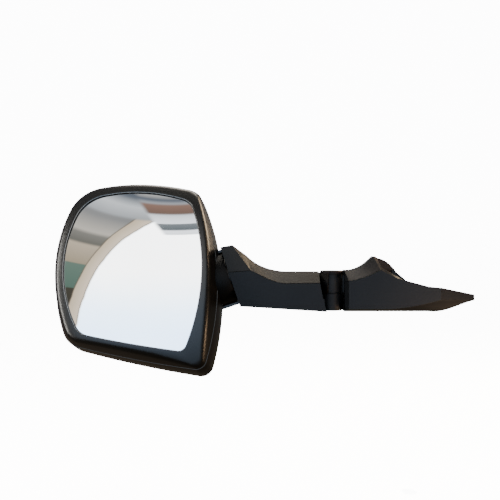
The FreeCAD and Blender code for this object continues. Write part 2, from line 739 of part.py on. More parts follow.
CAP_CHAMFER = 1.6
NECK_BORE = 10.0
cap_foot = (0, 0, "dims.hinge_neck")
cap_disc = cylinder("cap_disc", "dims.hub_radius + 1.2", "dims.cap_top - dims.hinge_neck", cap_foot)
doc.recompute()
top_rim = [
    number
    for number, edge in enumerate(cap_disc.Shape.Edges, start=1)
    if len(edge.Vertexes) == 1 and edge.BoundBox.ZMin > size("cap_top") - 1
]
cap_edge = doc.addObject("Part::Chamfer", "cap_edge")
cap_edge.Base = cap_disc
cap_edge.Edges = [(number, CAP_CHAMFER, CAP_CHAMFER) for number in top_rim]
cap_spigot = cylinder("cap_spigot", NECK_BORE - 0.1, 1.6, (0, 0, "dims.hinge_neck - 1.4"))
node(joined("cap_body", cap_edge, cap_spigot), "hinge_cap", FOLD)

# ---------------------------------------------------------------- base bracket, one casting
pad_half, pad_width, pad_thick = size("pad_half_length"), size("pad_half_width"), size("pad_thick")
pin_run = size("pin_radius") + size("running_gap")
NECK_RADIUS = 13.4
bracket_hub = ring_solid(size("hub_radius"), pin_run, upper_low, size("hub_top"))
neck_ring = ring_solid(NECK_RADIUS, NECK_BORE, size("hub_top") - 1.0, size("hinge_neck"))
bracket_hub = bracket_hub.fuse(neck_ring)
WEB_HALF = 7.0
web_points = [
    (9.0, upper_low),
    (9.0, 21.5),
    (40.0, 21.5),
    (60.0, 22.0),
    (80.0, 2.0),
    (70.0, -8.0),
    (40.0, upper_low),
]
web = extruded(web_points, -WEB_HALF, 2 * WEB_HALF)
LUG_POINTS = [(82.0, 8.0), (82.0, 28.5), (84.0, 29.0), (100.6, 15.0), (100.6, 8.0)]
lug = extruded(LUG_POINTS, 6.0, 5.0)
pad_corner = Vector(-pad_half, -pad_width, -pad_thick)
pad_plate = Part.makeBox(2 * pad_half, 2 * pad_width, pad_thick, pad_corner)
RIB_WIDE, RIB_DEEP, RIB_SHORT = 8.0, 12.0, 24.0
rib_corner = Vector(-pad_half, -RIB_WIDE / 2, -pad_thick - RIB_DEEP)
pad_rib = Part.makeBox(2 * pad_half - RIB_SHORT, RIB_WIDE, RIB_DEEP, rib_corner)
pad_body = moved(pad_plate.fuse(pad_rib), PAD)
base_bracket = bracket_hub.fuse(web).fuse(pad_body).fuse(lug)
base_bracket = base_bracket.cut(Part.makeCylinder(NECK_BORE, 40.0, Vector(0, 0, SPRING_SEAT)))
base_bracket = base_bracket.cut(Part.makeCylinder(pin_run, 60, Vector(0, 0, -20)))
for side in (-1, 1):
    hole_foot = Vector(side * size("bolt_circle") / 2, 0, -40.0)
    pad_hole = Part.makeCylinder(size("bolt_hole_radius"), 60.0, hole_foot)
    base_bracket = base_bracket.cut(moved(pad_hole, PAD))
BASE_FIXINGS = {"web": (34.0, 6.0), "pad": (112.0, 4.2)}
base_bracket = screw_holes(base_bracket, BASE_FIXINGS.values())
fixed_node(base_bracket, "base_bracket", FOLD)

# ---------------------------------------------------------------- base covers
BASE_LEFT = 20.1
PAST_HINGE = 60.0


def base_section(y, rise, cut, tail, inset=0.0, open_by=0.0):
    """A closed outline of the base: the rise to its peak, the cut against the cab, and the underside."""

    def at(point):
        return (point[0], y, point[1])

    rise = [(x + inset, z - inset) for x, z in rise]
    cut = [(x, z + open_by) for x, z in cut]
    tail = [(x - 2.0 * inset if x > PAST_HINGE else x + inset, z + inset) for x, z in tail]
    peak = (rise[-1][0] + 0.5 * inset, rise[-1][1] + open_by)
    edges = [curve([at(p) for p in rise])]
    if open_by:
        edges.append(line(at(rise[-1]), at(peak)))
        edges.append(curve([at(p) for p in [peak] + cut]))
    else:
        edges.append(curve([at(p) for p in [rise[-1]] + cut]))
    edges.append(line(at(cut[-1]), at(tail[0])))
    edges.append(curve([at(p) for p in tail[:-1]]))
    edges.append(line(at(tail[-2]), at(tail[-1])))
    edges.append(line(at(tail[-1]), at(rise[0])))
    return Part.Wire(edges)


NEAR_RISE = [(BASE_LEFT, 14.4), (38.0, 18.9), (50.0, 23.5), (61.3, 29.0)]
NEAR_CUT = [(74.0, 22.5), (96.0, 14.0), (139.7, 6.2)]
NEAR_TAIL = [(139.7, -10.0), (122.0, -14.8), (98.0, -19.4), (74.0, -22.0), (BASE_LEFT, -22.2)]
RIDGE_LEFT = 15.9
RIDGE_RISE = [(RIDGE_LEFT, 28.6), (31.0, 30.4), (43.0, 36.6), (54.5, 46.8)]
RIDGE_CUT = [(78.0, 37.0), (97.0, 15.0), (148.0, -1.6), (188.2, -3.8)]
RIDGE_TAIL = [(188.5, -11.4), (172.0, -16.6), (151.0, -24.0), (128.0, -26.1), (RIDGE_LEFT, -26.2)]
FAR_RISE = [(BASE_LEFT, 18.0), (38.0, 26.0), (52.0, 36.0), (64.0, 44.0)]
FAR_CUT = [(80.0, 38.0), (100.0, 16.0), (148.0, -1.6), (185.6, -4.0)]
FAR_TAIL = [(186.0, -11.2), (168.0, -17.0), (146.0, -23.2), (126.0, -24.4), (BASE_LEFT, -24.8)]


def base_solid(inset=0.0, open_by=0.0):
    half = size("base_depth")
    ridge = size("arm_ridge_share") * half
    wires = [
        base_section(-half + inset, NEAR_RISE, NEAR_CUT, NEAR_TAIL, inset, open_by),
        base_section(-ridge, RIDGE_RISE, RIDGE_CUT, RIDGE_TAIL, inset, open_by),
        base_section(ridge, RIDGE_RISE, RIDGE_CUT, RIDGE_TAIL, inset, open_by),
        base_section(half - inset, FAR_RISE, FAR_CUT, FAR_TAIL, inset, open_by),
    ]
    return Part.makeLoft(wires, True, True)


base_shell = base_solid().cut(base_solid(size("cover_thick"), 30.0))
window_corner = Vector(0.0, -WEB_HALF - 0.5, upper_low - 0.5)
web_window = Part.makeBox(30.0, 2 * WEB_HALF + 1.0, 24.0, window_corner)
base_shell = base_shell.cut(web_window)
BASE_SEAM = [(0.0, 9.4)] + NEAR_RISE + [(66.0, 60.0)]
lower_base = base_shell.cut(above(BASE_SEAM, -half_gap))
lower_base = back_fixing(lower_base, *BASE_FIXINGS["web"], WEB_HALF + 0.1, size("base_depth"))
lower_base = back_fixing(lower_base, *BASE_FIXINGS["pad"], pad_width + 0.1, size("base_depth"))
fixed_node(base_shell.common(above(BASE_SEAM, half_gap)), "base_upper_cover", FOLD)
fixed_node(lower_base, "base_lower_cover", FOLD)
base_screws = [back_screw(x, z, size("base_depth")) for x, z in BASE_FIXINGS.values()]
fixed_node(group(base_screws), "base_cover_screws", FOLD)

# ---------------------------------------------------------------- check everything, then write it
doc.recompute()
problems = [o.Name for o in doc.Objects if {"Invalid", "Error"} & set(o.State)]
for part in nodes:
    if part.Shape.isNull() or not part.Shape.isValid() or not part.Shape.Solids:
        problems.append(part.Label)
if problems:
    raise RuntimeError("failed objects: " + ", ".join(problems))
for part in nodes:
    part.Shape.exportStep(f"parts/{part.Label}.step")
    bounds = part.Shape.BoundBox
    print(
        f"{part.Label:24s} solids {len(part.Shape.Solids):2d} volume {part.Shape.Volume / 1000:8.2f} cm3"
        f"  x {bounds.XMin:7.1f} {bounds.XMax:7.1f}  y {bounds.YMin:6.1f} {bounds.YMax:6.1f}"
        f"  z {bounds.ZMin:6.1f} {bounds.ZMax:6.1f}"
    )
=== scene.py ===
import json
import math

import bmesh
import bpy
from mathutils import Matrix, Vector


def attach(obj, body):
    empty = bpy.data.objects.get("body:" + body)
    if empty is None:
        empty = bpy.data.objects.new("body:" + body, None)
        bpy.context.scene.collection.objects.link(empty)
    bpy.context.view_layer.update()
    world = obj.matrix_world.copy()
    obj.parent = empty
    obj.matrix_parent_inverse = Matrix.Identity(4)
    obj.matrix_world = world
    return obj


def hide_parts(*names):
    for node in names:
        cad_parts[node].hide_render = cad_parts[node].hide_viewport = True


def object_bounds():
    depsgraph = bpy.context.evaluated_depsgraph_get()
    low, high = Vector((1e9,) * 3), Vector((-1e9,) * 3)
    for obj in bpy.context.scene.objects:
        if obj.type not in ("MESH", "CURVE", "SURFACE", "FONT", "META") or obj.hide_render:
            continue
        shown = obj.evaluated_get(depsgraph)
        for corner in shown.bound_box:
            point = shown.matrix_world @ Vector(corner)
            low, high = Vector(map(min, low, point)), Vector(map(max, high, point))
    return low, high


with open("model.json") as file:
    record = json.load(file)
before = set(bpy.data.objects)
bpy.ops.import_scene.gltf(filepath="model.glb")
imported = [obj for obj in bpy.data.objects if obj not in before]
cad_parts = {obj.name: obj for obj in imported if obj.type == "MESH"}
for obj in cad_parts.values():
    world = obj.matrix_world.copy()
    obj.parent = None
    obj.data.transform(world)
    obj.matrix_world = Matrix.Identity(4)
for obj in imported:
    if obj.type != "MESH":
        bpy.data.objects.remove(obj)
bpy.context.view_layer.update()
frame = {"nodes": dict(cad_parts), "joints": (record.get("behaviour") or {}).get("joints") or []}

NODES = frame["nodes"]
JOINTS = {joint["name"]: joint for joint in frame["joints"]}
MM = 0.001

# ---------------------------------------------------------------- working frames
fold_at = Vector(JOINTS["arm_fold"]["pos_m"])
swivel_at = Vector(JOINTS["head_swivel"]["pos_m"])
HEAD_ORIGIN = fold_at + Vector((-256.0, -47.0, 34.8)) * MM
HEAD_PITCH = math.radians(-16.0)
HEAD = Matrix.Translation(HEAD_ORIGIN) @ Matrix.Rotation(HEAD_PITCH, 4, "X")
SWIVEL_SLOPE = math.radians(-18.5)
SWIVEL = Matrix.Translation(swivel_at) @ Matrix.Rotation(SWIVEL_SLOPE, 4, "Y")


def in_head(u, depth, v):
    """A point given in the head's own millimetres, in metres in the row frame."""
    return HEAD @ (Vector((u, depth, v)) * MM)


# ---------------------------------------------------------------- the head's two outlines
# Eight arcs each, every one tangent to the next; two radii follow from the loop closing.
FREE_ARCS = (4, 6)
OPENING = {
    "start": (-49.0, 105.5),
    "heading": 10.5,
    "turns": (26.0, 56.5, 39.0, 76.0, 5.0, 51.0, 46.5, 60.0),
    "radii": (240.0, 19.0, 280.0, 8.0, None, 20.0, None, 45.0),
}
RIM = {
    "start": (-51.1, 111.0),
    "heading": 9.5,
    "turns": (19.6, 58.6, 37.0, 82.1, 5.7, 54.8, 41.7, 60.5),
    "radii": (352.0, 17.7, 341.0, 13.0, None, 28.8, None, 50.1),
}
ARC_STEPS = 36


def closed_radii(shape):
    """The outline's radii, with the two free ones worked out so that it closes."""
    steps, heading = [], math.radians(shape["heading"])
    for turn in shape["turns"]:
        after = heading - math.radians(turn)
        steps.append((math.sin(heading) - math.sin(after), math.cos(after) - math.cos(heading)))
        heading = after
    radii = list(shape["radii"])
    gap_u = -sum(r * s[0] for r, s in zip(radii, steps) if r is not None)
    gap_v = -sum(r * s[1] for r, s in zip(radii, steps) if r is not None)
    (au, av), (bu, bv) = steps[FREE_ARCS[0]], steps[FREE_ARCS[1]]
    det = au * bv - av * bu
    radii[FREE_ARCS[0]] = (gap_u * bv - gap_v * bu) / det
    radii[FREE_ARCS[1]] = (au * gap_v - av * gap_u) / det
    return radii


def outline(shape, grow=0.0, shift=(0.0, 0.0), scale=1.0):
    """Points round the outline: grown outward, scaled, then shifted."""
    heading = math.radians(shape["heading"])
    u, v = shape["start"]
    points = []
    for turn, radius in zip(shape["turns"], closed_radii(shape)):
        centre = Vector((u + radius * math.sin(heading), v - radius * math.cos(heading)))
        for step in range(ARC_STEPS):
            now = heading - math.radians(turn) * step / ARC_STEPS
            outward = Vector((-math.sin(now), math.cos(now)))
            points.append(scale * (centre + (radius + grow) * outward) + Vector(shift))
        heading -= math.radians(turn)
        u, v = centre + radius * Vector((-math.sin(heading), math.cos(heading)))
    return points


def rounded_loop(corners, radii, steps=6):
    """A closed run of points whose corners are rounded off by the radii given for them."""
    run = []
    befores, afters = corners[-1:] + corners[:-1], corners[1:] + corners[:1]
    most = 0.48
    for before, corner, after, radius in zip(befores, corners, afters, radii):
        back, on = before - corner, after - corner
        start = corner + back * min(most, radius / back.length)
        end = corner + on * min(most, radius / on.length)
        for step in range(steps + 1):
            t = step / steps
            run.append(start * (1 - t) ** 2 + corner * 2 * t * (1 - t) + end * t**2)
    return run


def skin(name, rows, body, material, closed_rows=True, closed_across=False):
    """A mesh through rows of points, each joined to the next, with smooth shading."""
    count, across = len(rows), len(rows[0])
    faces = []
    for i in range(count if closed_rows else count - 1):
        j = (i + 1) % count
        for k in range(across if closed_across else across - 1):
            m = (k + 1) % across
            faces.append((i * across + k, j * across + k, j * across + m, i * across + m))
    mesh = bpy.data.meshes.new(name)
    mesh.from_pydata([point for row in rows for point in row], [], faces)
    mesh.materials.append(material)
    made = bpy.data.objects.new(name, mesh)
    bpy.context.scene.collection.objects.link(made)
    bpy.context.view_layer.update()
    bm = bmesh.new()
    bm.from_mesh(mesh)
    bmesh.ops.recalc_face_normals(bm, faces=bm.faces)
    bm.to_mesh(mesh)
    bm.free()
    for polygon in mesh.polygons:
        polygon.use_smooth = True
    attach(made, body)
    return made


# ---------------------------------------------------------------- node materials
def new_material(name):
    material = bpy.data.materials.new(name)
    material.use_nodes = True
    tree = material.node_tree
    shader = tree.nodes["Principled BSDF"]
    return material, tree, shader


def add(tree, kind, **settings):
    """A new node with its settings."""
    made = tree.nodes.new(kind)
    for key, value in settings.items():
        setattr(made, key, value)
    return made


def noise(tree, vector, scale, detail=2.0, roughness=0.5):
    made = add(tree, "ShaderNodeTexNoise")
    made.inputs["Scale"].default_value = scale
    made.inputs["Detail"].default_value = detail
    made.inputs["Roughness"].default_value = roughness
    tree.links.new(vector, made.inputs["Vector"])
    return made.outputs["Fac"]


def ramp(tree, factor, stops):
    """A colour that runs through its stops as the factor grows."""
    made = add(tree, "ShaderNodeValToRGB")
    elements = made.color_ramp.elements
    while len(elements) < len(stops):
        elements.new(0.5)
    for element, (at, colour) in zip(elements, stops):
        element.position = at
        element.color = (*colour, 1.0)
    tree.links.new(factor, made.inputs["Fac"])
    return made.outputs["Color"]


def remap(tree, factor, low, high):
    """A factor from 0 to 1 spread over a range."""
    made = add(tree, "ShaderNodeMapRange")
    made.inputs["To Min"].default_value = low
    made.inputs["To Max"].default_value = high
    tree.links.new(factor, made.inputs["Value"])
    return made.outputs["Result"]


def stepped(tree, value, low, high):
    """A soft step from 0 to 1 between two values."""
    made = add(tree, "ShaderNodeMapRange", interpolation_type="SMOOTHSTEP")
    made.inputs["From Min"].default_value = low
    made.inputs["From Max"].default_value = high
    tree.links.new(value, made.inputs["Value"])
    return made.outputs["Result"]


MOTTLE_SCALE, MOTTLE_DETAIL = 14.0, 4.0
GRAIN_DETAIL, GRAIN_ROUGHNESS = 3.0, 0.6
GRAIN_HEIGHT = 0.00012


def moulded(name, dark, light, rough, grain, grain_depth, metallic=0.0, specular=0.5):
    """A surface with a broad mottle in its colour, a fine grain in its height, and patchy gloss."""
    material, tree, shader = new_material(name)
    coordinates = add(tree, "ShaderNodeTexCoord").outputs["Object"]
    broad = noise(tree, coordinates, MOTTLE_SCALE, MOTTLE_DETAIL)
    fine = noise(tree, coordinates, grain, GRAIN_DETAIL, GRAIN_ROUGHNESS)
    tree.links.new(ramp(tree, broad, ((0.3, dark), (0.7, light))), shader.inputs["Base Color"])
    tree.links.new(remap(tree, broad, *rough), shader.inputs["Roughness"])
    bump = add(tree, "ShaderNodeBump")
    bump.inputs["Strength"].default_value = grain_depth
    bump.inputs["Distance"].default_value = GRAIN_HEIGHT
    tree.links.new(fine, bump.inputs["Height"])
    tree.links.new(bump.outputs["Normal"], shader.inputs["Normal"])
    shader.inputs["Metallic"].default_value = metallic
    shader.inputs["Specular IOR Level"].default_value = specular
    return material


PLASTIC = moulded(
    "black_grained_plastic",
    dark=(0.0020, 0.0021, 0.0023),
    light=(0.0032, 0.0033, 0.0035),
    rough=(0.28, 0.36),
    grain=2600.0,
    grain_depth=0.06,
    specular=0.22,
)
COVER = moulded(
    "black_cover_plastic",
    dark=(0.0036, 0.0041, 0.0050),
    light=(0.0054, 0.0060, 0.0072),
    rough=(0.40, 0.50),
    grain=2600.0,
    grain_depth=0.3,
    specular=0.07,
)
# A lighter, warmer copy of the cover plastic for the arm's upper cover, which faces the light from above:
# painted light.
LIT_UPPER = moulded(
    "lit_black_upper_plastic",
    dark=(0.0066, 0.0062, 0.0055),
    light=(0.0098, 0.0092, 0.0082),
    rough=(0.40, 0.50),
    grain=2600.0,
    grain_depth=0.2,
    specular=0.07,
)
BASE = moulded(
    "black_base_plastic",
    dark=(0.0028, 0.0033, 0.0042),
    light=(0.0043, 0.0050, 0.0062),
    rough=(0.40, 0.50),
    grain=2600.0,
    grain_depth=0.3,
    specular=0.07,
)
# A darker, duller copy of the black plastic for the pieces that sit in shade, the boot, guards and hinge
# cap among them: painted shade.
SHADED_INNER = moulded(
    "shaded_inner_black_plastic",
    dark=(0.0016, 0.0016, 0.0017),
    light=(0.0028, 0.0028, 0.0029),
    rough=(0.5, 0.62),
    grain=1800.0,
    grain_depth=0.4,
    specular=0.05,
)
FOAM = moulded(
    "adhesive_foam",
    dark=(0.03, 0.03, 0.03),
    light=(0.05, 0.05, 0.048),
    rough=(0.8, 0.9),
    grain=900.0,
    grain_depth=0.8,
    specular=0.1,
)
CASTING = moulded(
    "black_coated_casting",
    dark=(0.0036, 0.0037, 0.0041),
    light=(0.0056, 0.0057, 0.0062),
    rough=(0.42, 0.56),
    grain=1200.0,
    grain_depth=0.5,
    specular=0.08,
)
ZINC = moulded(
    "zinc_steel",
    dark=(0.20, 0.205, 0.21),
    light=(0.30, 0.30, 0.295),
    rough=(0.26, 0.38),
    grain=900.0,
    grain_depth=0.25,
    metallic=1.0,
)
SPRING = moulded(
    "spring_steel",
    dark=(0.08, 0.08, 0.085),
    light=(0.13, 0.13, 0.135),
    rough=(0.25, 0.36),
    grain=900.0,
    grain_depth=0.25,
    metallic=1.0,
)

# Metres over which painted warm light turns the base's colour brown at its far wall, and black again at
# its tip.
FAR_WALL = (0.002, 0.006)
WARM_LIGHT_ENDS = (0.066, 0.058)
PAINTED_WARM_BROWN = (0.0115, 0.0070, 0.0040, 1.0)


def paint_warm_light_on_far_wall(material):
    """Mixes painted warm light, as a brown, into a moulded material's colour where the base's far wall is.
    """
    tree = material.node_tree
    shader = tree.nodes["Principled BSDF"]
    plain = shader.inputs["Base Color"].links[0].from_socket
    spot = add(tree, "ShaderNodeSeparateXYZ")
    tree.links.new(add(tree, "ShaderNodeTexCoord").outputs["Object"], spot.inputs["Vector"])
    both = add(tree, "ShaderNodeMath", operation="MULTIPLY")
    tree.links.new(stepped(tree, spot.outputs["Y"], *FAR_WALL), both.inputs[0])
    tree.links.new(stepped(tree, spot.outputs["X"], *WARM_LIGHT_ENDS), both.inputs[1])
    warm_lit = add(tree, "ShaderNodeMix", data_type="RGBA")
    tree.links.new(both.outputs["Value"], warm_lit.inputs["Factor"])
    tree.links.new(plain, warm_lit.inputs["A"])
    warm_lit.inputs["B"].default_value = PAINTED_WARM_BROWN
    tree.links.new(warm_lit.outputs["Result"], shader.inputs["Base Color"])


# painted warm light: the base's far wall is tinted brown
paint_warm_light_on_far_wall(BASE)

SILVER_COLOURS = ((0.3, (0.86, 0.88, 0.89)), (0.7, (0.90, 0.915, 0.92)))


def silvered(name):
    """A mirror with a slight haze."""
    material, tree, shader = new_material(name)
    haze = noise(tree, add(tree, "ShaderNodeTexCoord").outputs["Object"], 22.0, 3.0)
    tree.links.new(ramp(tree, haze, SILVER_COLOURS), shader.inputs["Base Color"])
    tree.links.new(remap(tree, haze, 0.015, 0.035), shader.inputs["Roughness"])
    shader.inputs["Metallic"].default_value = 1.0
    return material


FINISH = {
    "mirror_glass": silvered("silvered_glass"),
    "adhesive_pad": FOAM,
    "glass_carrier": SHADED_INNER,
    "front_bezel": PLASTIC,
    "rear_housing": PLASTIC,
    "head_bracket": CASTING,
    "swivel_collar": PLASTIC,
    "swivel_friction_washer": SHADED_INNER,
    "arm_upper_cover": LIT_UPPER,
    "arm_lower_cover": COVER,
    "arm_core": CASTING,
    "base_bracket": CASTING,
    "base_upper_cover": COVER,
    "base_lower_cover": BASE,
    "hinge_cap": SHADED_INNER,
    "hinge_thrust_washer": SHADED_INNER,
    "swivel_spring": SPRING,
    "hinge_spring": SPRING,
}
for name, part in NODES.items():
    part.data.materials.clear()
    part.data.materials.append(FINISH.get(name, ZINC))

# ---------------------------------------------------------------- bezel
# The lip follows the glass's dome; the outer band slopes back from the lip's ridge to the seam.
DOME_RADIUS, DOME_RISE = 400.0, 7.0
LIP_THICK, LIP_BACK = 3.0, 0.3
FRONT, SEAM = -12.0, 23.6
BAND_GROW, BAND_SHIFT = 4.0, (1.0, -1.0)
LIP = {"scale": 0.947, "shift": (2.9, -5.0)}
LIP_FLARE = ((3.6, FRONT - 1.0), (1.6, SEAM + 1.4))
BEZEL_WALL = 2.2
# lip's edge, ridge, rim, inside of the rim, inside of the ridge, back of the lip's edge
BEZEL_RADII = (0.9, 6.0, 0.6, 0.5, 1.5, 0.5)


def deep(points, depth):
    """An outline's points set at a depth of the head."""
    return [Vector((point.x, depth, point.y)) for point in points]


def on_dome(start, end, raised):
    """Where a line from the front first meets the glass's dome, raised by a distance."""
    centre = Vector((0.0, DOME_RADIUS - DOME_RISE, 0.0))
    along, offset = end - start, start - centre
    half_b = along.dot(offset)
    rest = offset.length_squared - (DOME_RADIUS + raised) ** 2
    t = (-half_b - math.sqrt(half_b**2 - along.length_squared * rest)) / along.length_squared
    return start + t * along


band_top = deep(outline(OPENING, BAND_GROW, BAND_SHIFT), FRONT)
band_inside = deep(outline(OPENING, BAND_GROW - BEZEL_WALL, BAND_SHIFT), FRONT)
rim = deep(outline(RIM), SEAM)
rim_inside = deep(outline(RIM, -BEZEL_WALL), SEAM)
flare_front, flare_back = [deep(outline(OPENING, grow, **LIP), depth) for grow, depth in LIP_FLARE]
bezel_rows = []
for top, top_in, low_out, low_in, near, far in zip(
    band_top, band_inside, rim, rim_inside, flare_front, flare_back
):
    corners = [
        on_dome(near, far, LIP_THICK),
        on_dome(top, low_out, LIP_THICK),
        low_out,
        low_in,
        on_dome(top_in, low_in, LIP_BACK),
        on_dome(near, far, LIP_BACK),
    ]
    bezel_rows.append([in_head(*point) for point in rounded_loop(corners, BEZEL_RADII)])
bezel = skin("bezel_frame", bezel_rows, "head", PLASTIC, closed_across=True)
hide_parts("front_bezel")

# ---------------------------------------------------------------- boot and guards: dark pieces that paint shade into gaps
# The boot is a dark sleeve that fills the gap between the head's neck and the arm's collar with painted
# shade: places along the swivel and radii.
BOOT = [
    (-1.2, 30.4),
    (-1.2, 31.6),
    (-2.0, 32.2),
    (-11.3, 32.4),
    (-45.0, 34.55),
    (-45.0, 34.25),
    (-11.3, 32.05),
    (-11.2, 30.4),
]
BOOT_STEPS = 72


def about_swivel(along, radius, angle):
    return SWIVEL @ (Vector((along, radius * math.cos(angle), radius * math.sin(angle))) * MM)


boot_turns = [math.tau * turn / BOOT_STEPS for turn in range(BOOT_STEPS)]
boot_rows = [[about_swivel(along, radius, turn) for along, radius in BOOT] for turn in boot_turns]
skin("swivel_shade_boot", boot_rows, "head", SHADED_INNER, closed_across=True)

# The guards close the knuckle's slots so that nothing shows through, with dark pieces that paint the shade
# in them: radii about the fold's axis and heights.
ARM_GUARD = [(14.7, -2.0), (14.7, 22.2), (15.9, 22.2), (15.9, 24.6), (17.2, 24.6), (17.2, -2.0)]
BASE_GUARD = [(14.6, -24.0), (14.6, 22.2), (15.7, 22.2), (15.7, -24.0)]
GUARD_STEPS = 28


def about_fold(radius, height, angle):
    return fold_at + Vector((radius * math.cos(angle), radius * math.sin(angle), height)) * MM


def guard(name, section, first, last, body):
    """A ring's sector about the fold hinge, closed at both ends."""
    turns = [math.radians(first + (last - first) * step / GUARD_STEPS) for step in range(GUARD_STEPS + 1)]
    rows = [[about_fold(radius, height, turn) for radius, height in section] for turn in turns]
    made = skin(name, rows, body, SHADED_INNER, closed_rows=False, closed_across=True)
    cap = bmesh.new()
    cap.from_mesh(made.data)
    bmesh.ops.holes_fill(cap, edges=[edge for edge in cap.edges if edge.is_boundary])
    bmesh.ops.recalc_face_normals(cap, faces=cap.faces)
    cap.to_mesh(made.data)
    cap.free()


guard("arm_knuckle_guard", ARM_GUARD, 112.0, 248.0, "arm")
guard("base_knuckle_guard", BASE_GUARD, -35.0, 35.0, "base")

# ---------------------------------------------------------------- soft edges on the moulded and cast parts
EDGES = {
    "arm_upper_cover": 1.4,
    "arm_lower_cover": 1.4,
    "base_upper_cover": 1.2,
    "base_lower_cover": 1.2,
    "rear_housing": 0.8,
    "swivel_collar": 1.0,
    "arm_core": 0.6,
    "base_bracket": 0.6,
    "hinge_cap": 0.4,
}
WELD_WITHIN = 0.01
SHARP_FROM = 24.0
for name, width in EDGES.items():
    part = NODES[name]
    weld = part.modifiers.new("weld", "WELD")
    weld.merge_threshold = WELD_WITHIN * MM
    bevel = part.modifiers.new("edges", "BEVEL")
    bevel.width = width * MM
    bevel.segments = 3
    bevel.limit_method = "ANGLE"
    bevel.angle_limit = math.radians(SHARP_FROM)
    weighted = part.modifiers.new("normals", "WEIGHTED_NORMAL")
    weighted.keep_sharp = True

# ---------------------------------------------------------------- stage
low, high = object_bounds()
FLOOR_DROP = 0.16
FLOOR = low.z - FLOOR_DROP

floor_material, _, floor_shader = new_material("pale_floor")
floor_shader.inputs["Base Color"].default_value = (0.80, 0.80, 0.80, 1.0)
floor_shader.inputs["Roughness"].default_value = 0.9
floor_shader.inputs["Specular IOR Level"].default_value = 0.0
floor_shader.inputs["Emission Color"].default_value = (1.0, 1.0, 1.0, 1.0)
floor_shader.inputs["Emission Strength"].default_value = 12.0
# a round bowl: a flat floor that bends up into a wall on every side
FLAT_RADIUS, BEND, WALL_TOP = 5.0, 3.0, 14.0
BEND_STEPS, ROUND_STEPS = 12, 64
MIDDLE_RADIUS = 0.01
profile = [(MIDDLE_RADIUS, FLOOR), (FLAT_RADIUS, FLOOR)]
for step in range(1, BEND_STEPS + 1):
    angle = math.radians(90.0) * step / BEND_STEPS
    profile.append((FLAT_RADIUS + BEND * math.sin(angle), FLOOR + BEND * (1.0 - math.cos(angle))))
profile.append((FLAT_RADIUS + BEND, WALL_TOP))
bowl, bowl_faces, rings = [], [], len(profile)
for turn in range(ROUND_STEPS):
    angle = math.tau * turn / ROUND_STEPS
    bowl += [(radius * math.cos(angle), radius * math.sin(angle), height) for radius, height in profile]
    here, there = turn * rings, (turn + 1) % ROUND_STEPS * rings
    bowl_faces += [(here + k, there + k, there + k + 1, here + k + 1) for k in range(rings - 1)]
bowl_faces.append([turn * rings for turn in range(ROUND_STEPS)])
floor_mesh = bpy.data.meshes.new("studio_floor")
floor_mesh.from_pydata(bowl, [], bowl_faces)
floor_mesh.materials.append(floor_material)
for polygon in floor_mesh.polygons:
    polygon.use_smooth = True
floor = bpy.data.objects.new("studio_floor", floor_mesh)
bpy.context.scene.collection.objects.link(floor)
floor.visible_diffuse = False
floor.visible_glossy = False

# ---------------------------------------------------------------- world
# a white sky in front and to the right, darker buildings to the left and overhead
SKY_SIDE = (0.373, -0.928, -0.025)
SKY_LIGHT = 6.0
world = bpy.data.worlds.new("studio")
bpy.context.scene.world = world
world.use_nodes = True
world_tree = world.node_tree
background = world_tree.nodes["Background"]
direction = add(world_tree, "ShaderNodeTexCoord").outputs["Generated"]
split = add(world_tree, "ShaderNodeSeparateXYZ")
world_tree.links.new(direction, split.inputs["Vector"])


def calculated(operation, one, two, three=0.0):
    """A sum worked out in the world's nodes, from sockets and numbers."""
    made = add(world_tree, "ShaderNodeMath", operation=operation)
    for socket, value in zip(made.inputs, (one, two, three)):
        if isinstance(value, float):
            socket.default_value = value
        else:
            world_tree.links.new(value, socket)
    return made.outputs["Value"]


def scaled_colour(factor, stops, strength):
    """Light whose colour runs through its stops."""
    colour = ramp(world_tree, factor, stops)
    made = add(world_tree, "ShaderNodeVectorMath", operation="SCALE")
    world_tree.links.new(colour, made.inputs[0])
    made.inputs["Scale"].default_value = strength
    return made.outputs["Vector"]


def blended(factor, one, two):
    """The first light where the factor is 0, the second where it is 1."""
    made = add(world_tree, "ShaderNodeMix", data_type="RGBA")
    world_tree.links.new(factor, made.inputs["Factor"])
    world_tree.links.new(one, made.inputs["A"])
    world_tree.links.new(two, made.inputs["B"])
    return made.outputs["Result"]


def turned_to(side):
    """How far the direction turns to a side: from -1 to 1."""
    made = add(world_tree, "ShaderNodeVectorMath", operation="DOT_PRODUCT")
    world_tree.links.new(direction, made.inputs[0])
    made.inputs[1].default_value = side
    return made.outputs["Value"]


